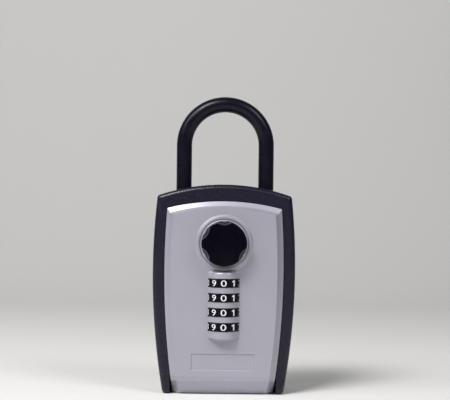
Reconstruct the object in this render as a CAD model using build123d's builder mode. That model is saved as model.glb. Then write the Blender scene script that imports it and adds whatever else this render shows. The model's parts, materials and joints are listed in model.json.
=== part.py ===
from build123d import *
import os
from math import atan2, cos, degrees, radians, sin, sqrt, tan

# Combination key safe with a removable shackle.
# Millimetres. +X is to the right as seen from the front, the front faces -Y and +Z is up.
# The origin is at the middle of the depth, under the centre of the flat base.

os.makedirs("parts", exist_ok=True)

# Body shell outline, seen from the front
body_mid_half = 46.4
body_mid_z = 72.0
body_bottom_half = body_mid_half - 7.1
body_corner_half = body_mid_half - 2.6
body_corner_z = 129.0
body_crown_z = 136.5
body_depth = 40.0
back_wall = 3.0
floor_thickness = 3.0
body_corner_radius = 2.5
body_front_radius = 3.2
body_back_radius = 1.5

# Widths of black frame that show around the door
rail_bottom = 6.8
rail_mid = 7.8
rail_corner = 6.6
head_crown = 11.0
head_corner = 8.2

# Door cover: a rim, an outer facet, an inner facet and the raised face
door_gap = 0.4
cover_bottom_z = 0.5
cover_proud = 1.2
outer_facet_width = 1.9
outer_facet_drop = 2.9
outer_facet_rise = 1.8
inner_facet_width = 2.2
inner_facet_drop = 1.3
inner_facet_rise = 2.8
lower_bevel_z = 12.5
lower_turn_z = 9.1
lower_turn_setback = 1.0
lower_bevel_setback = 8.0
cover_wall = 2.4
face_wall = 2.5
hollow_draft = 1.2

# Plate that closes the back of the door, and the ledge it comes to rest in front of
plate_thickness = 1.5
plate_inset = 0.8
ledge_width = 2.4
ledge_gap = 0.3
door_pocket_depth = 13.0

# Door hinge across the bottom
pin_radius = 1.5
hinge_z = 5.6
hinge_behind_rail = 6.5
hinge_fit = 0.05
press_clearance = 0.02
pin_seat = 3.2
pin_recess = 1.5
edge_break = 0.3
pressed_corner = 0.9
knuckle_gap = 15.0
knuckle_gap_x = 17.0
swing_clearance = 0.45
relief_clearance = 0.3

# Shackle
bar_radius = 4.0
sleeve_wall = 1.1
shackle_pitch = 54.5
shackle_top_z = 195.0
shackle_behind_ledge = 9.0
leg_below_ceiling = 5.6
socket_clearance = 0.25
sleeve_socket_depth = 4.0

# Shackle lock inside the compartment
ceiling_z = 108.0
shelf_thickness = 4.0
lock_thickness = 2.5
lock_travel = 2.0
lock_gap = 0.3
lock_half_depth = 6.6
lock_hole_clearance = 0.05
lock_rim = 2.6
notch_gap = 0.2
leg_chamfer = 0.8
tab_thickness = 1.5
guide_end = 0.8
guide_lock_end = 1.6
head_core_half = 17.0
guide_thickness = 1.2
guide_screw_x = 10.0
guide_screw_radius = 1.5
guide_head_radius = 2.7
guide_head_height = 1.5
thumb_tab_height = 8.0
thumb_tab_half = 5.0

# Number wheels on their upright spindle
wheel_count = 4
wheel_radius = 10.65
wheel_thickness = 5.3
wheel_pitch = 9.42
wheel_top_z = 72.9
wheel_axis_behind_face = 3.65
wheel_gap = 0.25
rim_notch_radius = 0.5
digit_count = 10
bulge_radius = 10.0
bulge_flank_angle = 45.0
bulge_end_wall = 2.0
bulge_into_ring = 1.0
bulge_end_radius = 2.2
spindle_radius = 2.0
running_fit = 0.05

# Code sleeves: a splined barrel and a gated flange for each wheel
barrel_radius = 5.4
flange_radius = 8.0
flange_thickness = 0.8
flange_above_wheel = 1.77
flange_clearance = 0.4
spline_radius = 6.2
spline_height = 1.35
spline_half = 0.7
spline_clearance = 0.15
sleeve_end_gap = 0.1
gate_depth = 1.7
gate_clearance = 0.3

# Latch slide with its comb of fingers and its bolt
latch_thickness = 1.0
latch_gap = 0.3
latch_travel = 2.6
finger_thickness = 1.0
finger_half = 1.5
finger_above_wheel = 0.27
bolt_half = 8.0
bolt_below_rim = 0.4
rim_notch_height = 9.6
keeper_clearance = 0.45
spine_half = 5.5
latch_shoulder_half = 13.0
slide_corner = 1.0

# Knob and crank
knob_z = 98.2
knob_radius = 14.7
skirt_radius = 15.5
skirt_thickness = 1.3
knob_height = 9.0
knob_gap = 0.4
flute_radius = 9.0
flute_depth = 2.2
flute_count = 6
shaft_radius = 3.0
ring_inner_radius = 15.9
ring_top_radius = 17.4
ring_outer_radius = 18.8
ring_height = 1.3
ring_edge_radius = 0.4
knob_boss_radius = 6.0
knob_boss_length = 7.3
crank_radius = 5.6
knob_turn = 60.0
latch_running_gap = 0.9
crank_thickness = 1.9
crank_pin_radius = 1.2
crank_pin_gap = 0.2
slot_clearance = 0.1
clip_thickness = 0.8
clip_radius = 5.0
clip_opening = 1.6
shaft_in_knob = 5.0
shaft_groove_radius = 2.4
knob_edge_radius = 0.8
crank_screw_radius = 1.0
crank_head_radius = 1.2
crank_head_height = 0.9
crank_screw_length = 5.0

# Reset slider that lowers the spindle for a new code
reset_travel = 1.5
reset_half = 5.0
reset_thickness = 2.9
reset_tab_out = 2.4
spring_outer_radius = 2.4
spring_wire = 0.7
spring_length = 8.0
spring_behind_wheels = 6.15
bearing_half = 4.5
bearing_length = 4.6
end_room = 0.7
collar_radius = 3.3
collar_height = 1.2
neck_radius = 1.4
neck_foot = 1.4
groove_radius = 1.6

# Detent leaf spring, its posts, and the posts that take the lid screws
detent_thickness = 0.4
detent_gap = 0.4
detent_post_x = 16.5
detent_post_rise = 6.5
detent_post_radius = 2.6
post_radius = 3.2
post_inset = 10.0
lid_screw_radius = 1.25
lid_screw_length = 9.0
screw_head_radius = 2.3
pan_head_height = 0.9
detent_arm_width = 2.8

# Studs that guide the latch slide
stud_radius = 1.5
stud_head_radius = 2.6
stud_head_thickness = 0.8

# Bare label recess in the face
label_width = 40.5
label_height = 9.9
label_z = 21.5
label_depth = 0.5
label_slope = 0.5

# Depths are counted forward from the back of the body
face_depth = body_depth + cover_proud + outer_facet_rise + inner_facet_rise
overall_depth = face_depth + knob_height
cut_width = 3 * body_mid_half
half_depth = overall_depth / 2
ledge_depth = body_depth - door_pocket_depth
shackle_depth = ledge_depth - shackle_behind_ledge
plate_back = ledge_depth + ledge_gap
cover_back = plate_back + plate_thickness
edge_depth = body_depth + cover_proud
step_depth = edge_depth + outer_facet_rise
face_inside = face_depth - face_wall
hinge_depth = body_depth - hinge_behind_rail
wheel_axis_depth = face_depth - wheel_axis_behind_face
spring_depth = wheel_axis_depth - spring_behind_wheels
latch_back = cover_back + latch_gap
latch_front = latch_back + latch_thickness

wheel_z = [wheel_top_z - i * wheel_pitch for i in range(wheel_count)]
between_wheels = wheel_pitch - wheel_thickness
sleeve_radius = bar_radius + sleeve_wall
leg_x = shackle_pitch / 2


def back_to_y(depth):
    """Y coordinate of a place this far forward of the back of the body."""
    return half_depth - depth


def face_plane(depth):
    """Upright plane at a depth, seen from the front: local x is X and local y is Z."""
    return Plane.XZ.offset(depth - half_depth)


def circle_through(points):
    """Centre and radius of the arc through three (x, z) points."""
    (x1, z1), (x2, z2), (x3, z3) = points
    a = x2 - x1
    b = z2 - z1
    c = x3 - x1
    d = z3 - z1
    e = (a * (x1 + x2) + b * (z1 + z2)) / 2
    f = (c * (x1 + x3) + d * (z1 + z3)) / 2
    det = a * d - b * c
    cx = (e * d - b * f) / det
    cz = (a * f - e * c) / det
    return cx, cz, sqrt((x1 - cx) ** 2 + (z1 - cz) ** 2)


def half_at(side, z):
    """Half width of an outline at a height, on the arc of its right side."""
    cx, cz, radius = circle_through(side)
    return cx + sqrt(radius**2 - (z - cz) ** 2)


def outline(side, crown_z, bottom_z):
    """Front view of a panel with bowed sides and an arched top, cut level at bottom_z."""
    corner_half, corner_z = side[2]
    bottom_half = half_at(side, bottom_z)
    middle_z = (bottom_z + corner_z) / 2
    middle_half = half_at(side, middle_z)
    with BuildSketch() as face:
        with BuildLine():
            Line((-bottom_half, bottom_z), (bottom_half, bottom_z))
            ThreePointArc((bottom_half, bottom_z), (middle_half, middle_z), (corner_half, corner_z))
            ThreePointArc((corner_half, corner_z), (0, crown_z), (-corner_half, corner_z))
            ThreePointArc((-corner_half, corner_z), (-middle_half, middle_z), (-bottom_half, bottom_z))
        make_face()
    return face.sketch


def inset_side(side, amount, drop):
    """The same bowed side, moved inwards, with its top corner lowered."""
    (x1, z1), (x2, z2), (x3, z3) = side
    return ((x1 - amount, z1), (x2 - amount, z2), (x3 - amount, z3 - drop))


body_side = (
    (body_bottom_half, 0),
    (body_mid_half, body_mid_z),
    (body_corner_half, body_corner_z),
)
cover_side = (
    (body_bottom_half - rail_bottom, cover_bottom_z),
    (body_mid_half - rail_mid, body_mid_z),
    (body_corner_half - rail_corner, body_corner_z - head_corner),
)
cover_crown_z = body_crown_z - head_crown
facet_width = outer_facet_width + inner_facet_width
facet_drop = outer_facet_drop + inner_facet_drop
step_side = inset_side(cover_side, outer_facet_width, outer_facet_drop)
face_side = inset_side(cover_side, facet_width, facet_drop)


def cover_outline(inset, drop, bottom_z=lower_bevel_z):
    """Outline of the door cover, with its sides moved inwards and its top lowered."""
    return outline(inset_side(cover_side, inset, drop), cover_crown_z - drop, bottom_z)


def crown_height(crown_z, corner, x):
    """Height of an arched top at a distance from the middle."""
    corner_half, corner_z = corner
    cx, cz, radius = circle_through(((corner_half, corner_z), (0, crown_z), (-corner_half, corner_z)))
    return cz + sqrt(radius**2 - (x - cx) ** 2)


# Places and sizes shared by several pieces
bore_radius = bar_radius + socket_clearance
sleeve_socket_radius = sleeve_radius + socket_clearance
shoulder_z = crown_height(body_crown_z, body_side[2], leg_x)
sleeve_end_z = shoulder_z - sleeve_socket_depth
shackle_y = back_to_y(shackle_depth)
compartment_side = inset_side(cover_side, ledge_width, ledge_width)

lock_top_z = ceiling_z - lock_gap
lock_bottom_z = lock_top_z - lock_thickness
guide_top_z = lock_bottom_z - lock_gap
guide_bottom_z = guide_top_z - guide_thickness
guide_half_depth = lock_half_depth + lock_gap + guide_thickness
tab_depth = shackle_depth + lock_half_depth / 2

hinge_y = back_to_y(hinge_depth)
hinge_half = half_at(cover_side, hinge_z)
lip_radius = sqrt((hinge_z - cover_bottom_z) ** 2 + (hinge_depth - cover_back) ** 2)
swing_radius = lip_radius + swing_clearance
relief_top_z = hinge_z + body_depth - hinge_depth + relief_clearance
relief_half = half_at(cover_side, relief_top_z) + door_gap
pin_left = -(relief_half + pin_seat)
pin_right = hinge_half + rail_bottom - pin_recess

axis_y = back_to_y(wheel_axis_depth)
wheel_bottom = [z - wheel_thickness / 2 for z in wheel_z]
gap_floor = [z - between_wheels for z in wheel_bottom]
window_radius = wheel_radius + wheel_gap
cavity_radius = flange_radius + flange_clearance
finger_reach = spline_radius + flange_clearance
bulge_bottom_z = gap_floor[-1] - bulge_end_wall
shoulder_x = bulge_radius * sin(radians(bulge_flank_angle))
shoulder_rise = bulge_radius * cos(radians(bulge_flank_angle)) - wheel_axis_behind_face
bulge_half = shoulder_x + shoulder_rise / tan(radians(bulge_flank_angle))
bulge_top_z = knob_z - ring_outer_radius + bulge_into_ring
sleeve_length = wheel_pitch - sleeve_end_gap
sleeve_base = [z + flange_above_wheel for z in gap_floor]
clip_z = sleeve_base[0] + sleeve_length + sleeve_end_gap
collar_top_z = sleeve_base[-1] - sleeve_end_gap
cavity_top_z = clip_z + clip_thickness + end_room
bearing_bottom_z = gap_floor[-1] - bearing_length

bolt_top_z = crown_height(cover_crown_z, cover_side[2], bolt_half) - bolt_below_rim
crank_offset = latch_travel / (2 * sin(radians(knob_turn / 2)))
pin_x = crank_offset * cos(radians(knob_turn / 2))
pin_z = knob_z - crank_offset * sin(radians(knob_turn / 2))
crank_back = latch_front + latch_running_gap
crank_front = crank_back + crank_thickness
knob_boss_back = face_inside - knob_boss_length
knob_back = face_depth + knob_gap

reset_top_z = bearing_bottom_z - lock_gap
reset_bottom_z = reset_top_z - reset_thickness
shelf_z = reset_bottom_z - spring_length
detent_front = wheel_axis_depth - wheel_radius - detent_gap
detent_back = detent_front - detent_thickness
notch_x_at_back = wheel_radius * sin(radians(180 / digit_count))


def lid_post(z):
    """Place of the screw post on the right at a height, inside the cover's wall."""
    return half_at(cover_side, z) - post_inset, z


upper_post = lid_post(cover_side[2][1] - post_inset)
lower_post = lid_post(lower_bevel_z + post_inset - cover_wall)
post_places = [
    (side * x, z) for x, z in (upper_post, lower_post) for side in (-1, 1)
]
detent_top = wheel_z[0] + detent_post_rise
detent_bottom = wheel_z[-1] - detent_post_rise
detent_places = [(-detent_post_x, detent_top), (-detent_post_x, detent_bottom)]
stud_places = [(0, cavity_top_z + stud_radius), (0, knob_z + crank_radius + stud_head_radius + stud_radius)]


# Body shell: a bucket with a head bar that holds the shackle sockets and the bolt's keeper
with BuildPart() as body_shell:
    with BuildSketch(face_plane(0)):
        add(outline(body_side, body_crown_z, 0))
    extrude(amount=body_depth)
    fillet(body_shell.edges().filter_by(Axis.Y), body_corner_radius)
    fillet(body_shell.faces().sort_by(Axis.Y)[0].edges(), body_front_radius)
    fillet(body_shell.faces().sort_by(Axis.Y)[-1].edges(), body_back_radius)

    # Pocket that the door closes into, open through the bottom
    with BuildSketch(face_plane(ledge_depth)):
        add(outline(inset_side(cover_side, -door_gap, -door_gap), cover_crown_z + door_gap, -hinge_z))
    extrude(amount=door_pocket_depth, mode=Mode.SUBTRACT)

    # Compartment for the keys, behind the ledge
    with BuildSketch(face_plane(back_wall)):
        add(outline(compartment_side, cover_crown_z - ledge_width, floor_thickness))
        with Locations((0, ceiling_z)):
            Rectangle(cut_width, body_crown_z, align=(Align.CENTER, Align.MIN), mode=Mode.SUBTRACT)
    extrude(amount=ledge_depth - back_wall, mode=Mode.SUBTRACT)

    # Core in the head between the sockets, over the shelf that carries the shackle lock
    with BuildSketch(face_plane(2 * back_wall)):
        add(outline(compartment_side, cover_crown_z - ledge_width, floor_thickness))
        with Locations((0, ceiling_z + shelf_thickness)):
            Rectangle(2 * head_core_half, body_crown_z, align=(Align.CENTER, Align.MIN), mode=Mode.INTERSECT)
    extrude(amount=ledge_depth - 2 * back_wall, mode=Mode.SUBTRACT)

    # Room for the door's lower lip as it swings, and for its wider part above to pass the rails
    with BuildSketch(Plane.YZ.offset(-relief_half)):
        with Locations((hinge_y, hinge_z)):
            Circle(swing_radius)
    extrude(amount=2 * relief_half, mode=Mode.SUBTRACT)
    with BuildSketch(face_plane(ledge_depth)):
        with Locations((0, -hinge_z)):
            Rectangle(2 * relief_half, relief_top_z + hinge_z, align=(Align.CENTER, Align.MIN))
    extrude(amount=door_pocket_depth, mode=Mode.SUBTRACT)

    # Bore for the hinge pin, blind in the left rail
    with BuildSketch(Plane.YZ.offset(pin_left)):
        with Locations((hinge_y, hinge_z)):
            Circle(pin_radius + press_clearance)
    extrude(amount=cut_width, mode=Mode.SUBTRACT)

    # Sockets for the shackle's legs, wider at the mouth for the sleeve
    with BuildSketch(Plane.XY.offset(ceiling_z)):
        with Locations((-leg_x, shackle_y), (leg_x, shackle_y)):
            Circle(bore_radius)
    extrude(amount=body_crown_z - ceiling_z, mode=Mode.SUBTRACT)
    with BuildSketch(Plane.XY.offset(sleeve_end_z - lock_gap)):
        with Locations((-leg_x, shackle_y), (leg_x, shackle_y)):
            Circle(sleeve_socket_radius)
    extrude(amount=body_crown_z - sleeve_end_z, mode=Mode.SUBTRACT)

    # Threaded holes for the two guide screws
    with BuildSketch(Plane.XY.offset(ceiling_z)):
        with Locations((-guide_screw_x, shackle_y), (guide_screw_x, shackle_y)):
            Circle(guide_screw_radius + press_clearance)
    extrude(amount=shelf_thickness, mode=Mode.SUBTRACT)

    # Keeper slot for the bolt, in the underside of the head bar
    with BuildSketch(Plane.XY.offset(bolt_top_z)):
        with Locations((0, back_to_y(latch_back + latch_thickness / 2))):
            Rectangle(2 * (bolt_half + keeper_clearance), latch_thickness + 2 * keeper_clearance)
    extrude(amount=latch_travel + 2 * keeper_clearance, mode=Mode.SUBTRACT)

body_shell.part.label = "body_shell"
export_step(body_shell.part, "parts/body_shell.step")


# Hinge pin, pressed into both rails
with BuildPart() as hinge_pin:
    with BuildSketch(Plane.YZ.offset(pin_left)):
        with Locations((hinge_y, hinge_z)):
            Circle(pin_radius)
    extrude(amount=pin_right - pin_left)
    chamfer(hinge_pin.edges().filter_by(GeomType.CIRCLE), edge_break)

hinge_pin.part.label = "hinge_pin"
export_step(hinge_pin.part, "parts/hinge_pin.step")


# Shackle: steel core, notched at both legs for the lock plate
arch_z = shackle_top_z - sleeve_radius - leg_x
leg_bottom_z = ceiling_z - leg_below_ceiling
lock_hole_half = bore_radius + lock_hole_clearance
notch_x = lock_hole_half - lock_travel - notch_gap

with BuildPart() as shackle_core:
    with BuildLine():
        Line((leg_x, shackle_y, leg_bottom_z), (leg_x, shackle_y, arch_z))
        ThreePointArc(
            (leg_x, shackle_y, arch_z), (0, shackle_y, arch_z + leg_x), (-leg_x, shackle_y, arch_z)
        )
        Line((-leg_x, shackle_y, arch_z), (-leg_x, shackle_y, leg_bottom_z))
    with BuildSketch(Plane.XY.offset(leg_bottom_z)):
        with Locations((leg_x, shackle_y)):
            Circle(bar_radius)
    sweep()
    leg_ends = shackle_core.edges().filter_by(GeomType.CIRCLE).group_by(Axis.Z)[0]
    chamfer(leg_ends, leg_chamfer)
    for x in (-leg_x, leg_x):
        with BuildSketch(Plane.XY.offset(lock_bottom_z - notch_gap)):
            with Locations((x - notch_x, shackle_y)):
                Rectangle(bar_radius, 2 * bar_radius, align=(Align.MAX, Align.CENTER))
        extrude(amount=lock_thickness + 2 * notch_gap, mode=Mode.SUBTRACT)

shackle_core.part.label = "shackle_core"
export_step(shackle_core.part, "parts/shackle_core.step")


# Vinyl sleeve over the part of the shackle that shows
with BuildPart() as shackle_sleeve:
    with BuildLine():
        Line((leg_x, shackle_y, sleeve_end_z), (leg_x, shackle_y, arch_z))
        ThreePointArc(
            (leg_x, shackle_y, arch_z), (0, shackle_y, arch_z + leg_x), (-leg_x, shackle_y, arch_z)
        )
        Line((-leg_x, shackle_y, arch_z), (-leg_x, shackle_y, sleeve_end_z))
    with BuildSketch(Plane.XY.offset(sleeve_end_z)):
        with Locations((leg_x, shackle_y)):
            Circle(sleeve_radius)
            Circle(bar_radius + running_fit, mode=Mode.SUBTRACT)
    sweep()

shackle_sleeve.part.label = "shackle_sleeve"
export_step(shackle_sleeve.part, "parts/shackle_sleeve.step")


# Lock plate: slides to the right to put a nose in the notch of each leg
lock_left = -(leg_x + lock_hole_half + lock_rim)
lock_right = leg_x - lock_hole_half

with BuildPart() as shackle_lock_plate:
    with BuildSketch(Plane.XY.offset(lock_bottom_z)) as lock_outline:
        with Locations((lock_left, shackle_y)):
            Rectangle(lock_right - lock_left, 2 * lock_half_depth, align=(Align.MIN, Align.CENTER))
        fillet(lock_outline.vertices(), pressed_corner)
        with Locations((-leg_x, shackle_y)):
            Rectangle(2 * lock_hole_half, 2 * lock_hole_half, mode=Mode.SUBTRACT)
        with Locations(
            (-guide_screw_x - lock_travel / 2, shackle_y), (guide_screw_x - lock_travel / 2, shackle_y)
        ):
            SlotCenterToCenter(lock_travel, 2 * (guide_screw_radius + lock_gap), mode=Mode.SUBTRACT)
    extrude(amount=lock_thickness)
    with BuildSketch(Plane.XY.offset(lock_bottom_z)):
        with Locations((0, back_to_y(tab_depth))):
            Rectangle(2 * thumb_tab_half, tab_thickness)
    extrude(amount=-thumb_tab_height)
    tab_corners = shackle_lock_plate.edges().filter_by(Axis.Y).group_by(Axis.Z)[0]
    fillet(tab_corners, tab_thickness)

shackle_lock_plate.part.label = "shackle_lock_plate"
export_step(shackle_lock_plate.part, "parts/shackle_lock_plate.step")


# Guide: a folded channel that carries the lock plate under the shelf
guide_left = lock_left - guide_end
guide_right = leg_x + lock_hole_half + guide_lock_end

with BuildPart() as shackle_guide:
    with BuildSketch(Plane.XY.offset(guide_bottom_z)):
        with Locations((guide_left, shackle_y)):
            Rectangle(guide_right - guide_left, 2 * guide_half_depth, align=(Align.MIN, Align.CENTER))
    extrude(amount=ceiling_z - guide_bottom_z)
    with BuildSketch(Plane.XY.offset(guide_top_z)):
        with Locations((guide_left, shackle_y)):
            Rectangle(
                guide_right - guide_left,
                2 * (guide_half_depth - guide_thickness),
                align=(Align.MIN, Align.CENTER),
            )
    extrude(amount=ceiling_z - guide_top_z, mode=Mode.SUBTRACT)
    with BuildSketch(Plane.XY.offset(guide_bottom_z)):
        with Locations((-leg_x, shackle_y), (leg_x, shackle_y)):
            Circle(lock_hole_half)
        with Locations((-guide_screw_x, shackle_y), (guide_screw_x, shackle_y)):
            Circle(guide_screw_radius + running_fit)
        with Locations((-thumb_tab_half - lock_gap, back_to_y(tab_depth))):
            Rectangle(
                2 * (thumb_tab_half + lock_gap) + lock_travel,
                tab_thickness + 2 * lock_gap,
                align=(Align.MIN, Align.CENTER),
            )
    extrude(amount=guide_thickness, mode=Mode.SUBTRACT)

shackle_guide.part.label = "shackle_guide"
export_step(shackle_guide.part, "parts/shackle_guide.step")


# Screws that hold the guide up to the shelf
with BuildPart() as guide_screws:
    with BuildSketch(Plane.XY.offset(guide_bottom_z)):
        with Locations((-guide_screw_x, shackle_y), (guide_screw_x, shackle_y)):
            Circle(guide_head_radius)
    extrude(amount=-guide_head_height)
    fillet(guide_screws.edges().filter_by(GeomType.CIRCLE).group_by(Axis.Z)[0], guide_head_height / 2)
    with BuildSketch(Plane.XY.offset(guide_bottom_z)):
        with Locations((-guide_screw_x, shackle_y), (guide_screw_x, shackle_y)):
            Circle(guide_screw_radius)
    extrude(amount=ceiling_z + shelf_thickness - guide_bottom_z)

guide_screws.part.label = "guide_screws"
export_step(guide_screws.part, "parts/guide_screws.step")


# Door cover: rim, facets and raised face, with the wheel bulge and the knob's ring
def cover_section(z, setback):
    """Level section through the cover, from its back to its face, for the lower bevel."""
    face_front = face_depth - setback
    step_front = face_front - inner_facet_rise * (1 - setback / face_depth)
    edge_front = step_front - outer_facet_rise
    right = [
        (half_at(cover_side, z), back_to_y(cover_back)),
        (half_at(cover_side, z), back_to_y(edge_front)),
        (half_at(step_side, z), back_to_y(step_front)),
        (half_at(face_side, z), back_to_y(face_front)),
    ]
    left = [(-x, y) for x, y in reversed(right)]
    with BuildSketch() as section:
        with BuildLine():
            Polyline(*right, *left, close=True)
        make_face()
    return section.sketch


def wheel_bulge():
    """Raised ridge over the wheels: round on top, with straight flanks and rounded ends."""
    with BuildPart() as ridge:
        with BuildSketch(Plane.XY.offset(bulge_bottom_z)):
            with BuildLine():
                ThreePointArc(
                    (-shoulder_x, back_to_y(face_depth + shoulder_rise)),
                    (0, axis_y - bulge_radius),
                    (shoulder_x, back_to_y(face_depth + shoulder_rise)),
                )
                Polyline(
                    (shoulder_x, back_to_y(face_depth + shoulder_rise)),
                    (bulge_half, back_to_y(face_depth)),
                    (bulge_half, back_to_y(face_inside)),
                    (-bulge_half, back_to_y(face_inside)),
                    (-bulge_half, back_to_y(face_depth)),
                    (-shoulder_x, back_to_y(face_depth + shoulder_rise)),
                )
            make_face()
        extrude(amount=bulge_top_z - bulge_bottom_z)
        ends = ridge.faces().filter_by(Axis.Z)
        in_front = ends.edges().filter_by_position(Axis.Y, -overall_depth, back_to_y(face_depth + edge_break))
        fillet(in_front, bulge_end_radius)
    return ridge.part


with BuildPart() as door_cover:
    with BuildSketch(face_plane(cover_back)):
        add(cover_outline(0, 0))
    extrude(amount=edge_depth - cover_back)
    with BuildSketch(face_plane(edge_depth)):
        add(cover_outline(0, 0))
    with BuildSketch(face_plane(step_depth)):
        add(cover_outline(outer_facet_width, outer_facet_drop))
    loft(ruled=True)
    with BuildSketch(face_plane(step_depth)):
        add(cover_outline(outer_facet_width, outer_facet_drop))
    with BuildSketch(face_plane(face_depth)):
        add(cover_outline(facet_width, facet_drop))
    loft(ruled=True)

    # Lower bevel, where the cover turns back towards the hinge in two steps
    lower_sections = (
        (lower_bevel_z, 0),
        (lower_turn_z, lower_turn_setback),
        (cover_bottom_z, lower_bevel_setback),
    )
    for above, below in zip(lower_sections, lower_sections[1:]):
        for z, setback in (above, below):
            with BuildSketch(Plane.XY.offset(z)):
                add(cover_section(z, setback))
        loft(ruled=True)

    # Hollow behind the face, drafted as a casting is
    with BuildSketch(face_plane(cover_back)):
        add(cover_outline(cover_wall, cover_wall, lower_bevel_z + hollow_draft))
    with BuildSketch(face_plane(face_inside)):
        add(cover_outline(facet_width + hollow_draft, facet_drop + hollow_draft, lower_bevel_z + cover_wall))
    loft(ruled=True, mode=Mode.SUBTRACT)

    # Ring that stands up around the knob, with rounded shoulders and a sloping flank
    with BuildSketch(Plane.YZ) as ring_section:
        with BuildLine():
            Polyline(
                (back_to_y(face_inside), knob_z + ring_inner_radius),
                (back_to_y(face_depth + ring_height), knob_z + ring_inner_radius),
                (back_to_y(face_depth + ring_height), knob_z + ring_top_radius),
                (back_to_y(face_depth), knob_z + ring_outer_radius),
                (back_to_y(face_inside), knob_z + ring_outer_radius),
                close=True,
            )
        make_face()
        fillet(ring_section.vertices().group_by(Axis.Y)[0], ring_edge_radius)
    revolve(axis=Axis((0, 0, knob_z), (0, 1, 0)))

    add(wheel_bulge())

    # Boss for the knob's shaft, lid screw posts and detent posts
    with BuildSketch(face_plane(knob_boss_back)):
        with Locations((0, knob_z)):
            Circle(knob_boss_radius)
    extrude(amount=face_depth - knob_boss_back)
    with BuildSketch(face_plane(cover_back)):
        with Locations(*post_places):
            Circle(post_radius)
    extrude(amount=face_depth - face_wall / 2 - cover_back)
    with BuildSketch(face_plane(detent_front)):
        with Locations(*detent_places):
            Circle(detent_post_radius)
    extrude(amount=face_depth - face_wall / 2 - detent_front)

    # Bearing blocks for the spindle above and below the wheels, and the spring's shelf
    with BuildSketch(face_plane(wheel_axis_depth - bearing_half)):
        with Locations((0, cavity_top_z)):
            Rectangle(2 * bearing_half, bearing_length, align=(Align.CENTER, Align.MIN))
        with Locations((0, gap_floor[-1])):
            Rectangle(2 * bearing_half, bearing_length, align=(Align.CENTER, Align.MAX))
    extrude(amount=face_depth - wheel_axis_depth + bearing_half)
    with BuildSketch(face_plane(spring_depth - bearing_half)):
        with Locations((0, shelf_z)):
            Rectangle(2 * bearing_half, shelf_thickness / 2, align=(Align.CENTER, Align.MAX))
    extrude(amount=face_inside + face_wall / 2 - spring_depth + bearing_half)

    # Room for the sleeves, windows for the wheels, and the spindle's bores
    with BuildSketch(Plane.XY.offset(gap_floor[-1])):
        with Locations((0, axis_y)):
            Circle(cavity_radius)
    extrude(amount=cavity_top_z - gap_floor[-1], mode=Mode.SUBTRACT)
    for z in wheel_bottom:
        with BuildSketch(Plane.XY.offset(z - wheel_gap)):
            with Locations((0, axis_y)):
                Circle(window_radius)
        extrude(amount=wheel_thickness + 2 * wheel_gap, mode=Mode.SUBTRACT)
    with BuildSketch(Plane.XY.offset(reset_bottom_z - reset_travel - end_room - neck_foot)):
        with Locations((0, axis_y)):
            Circle(spindle_radius + running_fit)
    extrude(amount=body_mid_z, mode=Mode.SUBTRACT)
    with BuildSketch(Plane.XY.offset(gap_floor[-1])):
        with Locations((0, axis_y)):
            Circle(collar_radius + lock_gap)
    extrude(amount=collar_top_z - collar_height - reset_travel - lock_gap - gap_floor[-1], mode=Mode.SUBTRACT)

    # Bore for the knob's shaft, and the screw holes
    with BuildSketch(face_plane(knob_boss_back)):
        with Locations((0, knob_z)):
            Circle(shaft_radius + running_fit)
    extrude(amount=knob_boss_length + face_wall, mode=Mode.SUBTRACT)
    with BuildSketch(face_plane(cover_back)):
        with Locations(*post_places):
            Circle(lid_screw_radius + press_clearance)
    extrude(amount=lid_screw_length + press_clearance, mode=Mode.SUBTRACT)
    with BuildSketch(face_plane(detent_front)):
        with Locations(*detent_places):
            Circle(lid_screw_radius + press_clearance)
    extrude(amount=lid_screw_length / 2 + press_clearance, mode=Mode.SUBTRACT)

    # Notch in the top rim that the bolt slides through
    with BuildSketch(face_plane(cover_back)):
        with Locations((0, cover_crown_z)):
            Rectangle(2 * (bolt_half + keeper_clearance), rim_notch_height)
    extrude(amount=latch_front + latch_gap - cover_back, mode=Mode.SUBTRACT)

    # Hinge: bore through the lower edge, and gaps that leave three knuckles
    with BuildSketch(Plane.YZ.offset(-cut_width / 2)):
        with Locations((hinge_y, hinge_z)):
            Circle(pin_radius + hinge_fit)
    extrude(amount=cut_width, mode=Mode.SUBTRACT)
    with BuildSketch(face_plane(cover_back)):
        with Locations((-knuckle_gap_x, 0), (knuckle_gap_x, 0)):
            Rectangle(knuckle_gap, 2 * (hinge_z + pin_radius + hinge_fit + cover_wall))
    extrude(amount=hinge_depth + pin_radius + cover_wall - cover_back, mode=Mode.SUBTRACT)

    # Bare recess for a label, with sloping sides
    with BuildSketch(face_plane(face_depth - label_depth)):
        with Locations((0, label_z)):
            Rectangle(label_width, label_height)
    with BuildSketch(face_plane(face_depth)):
        with Locations((0, label_z)):
            Rectangle(label_width + 2 * label_slope, label_height + 2 * label_slope)
    loft(ruled=True, mode=Mode.SUBTRACT)

door_cover.part.label = "door_cover"
export_step(door_cover.part, "parts/door_cover.step")


# Plate that closes the back of the door, with a slot for the reset tab
with BuildPart() as door_back_plate:
    with BuildSketch(face_plane(plate_back)):
        add(cover_outline(plate_inset, plate_inset))
        with Locations((0, reset_bottom_z - reset_travel - lock_gap)):
            Rectangle(
                2 * (reset_half + lock_gap),
                reset_thickness + reset_travel + 2 * lock_gap,
                align=(Align.CENTER, Align.MIN),
                mode=Mode.SUBTRACT,
            )
    extrude(amount=plate_thickness)
    with Locations(*[face_plane(plate_back).location * Location((x, z, 0)) for x, z in post_places]):
        with Locations(Location((0, 0, 0), (180, 0, 0))):
            CounterSinkHole(lid_screw_radius + running_fit, screw_head_radius + running_fit)
    with BuildSketch(face_plane(plate_back)):
        with Locations(*stud_places):
            Circle(stud_radius + press_clearance)
    extrude(amount=plate_thickness, mode=Mode.SUBTRACT)

door_back_plate.part.label = "door_back_plate"
export_step(door_back_plate.part, "parts/door_back_plate.step")


# Countersunk screws that hold the plate to the cover's posts
head_height = screw_head_radius - lid_screw_radius

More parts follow.
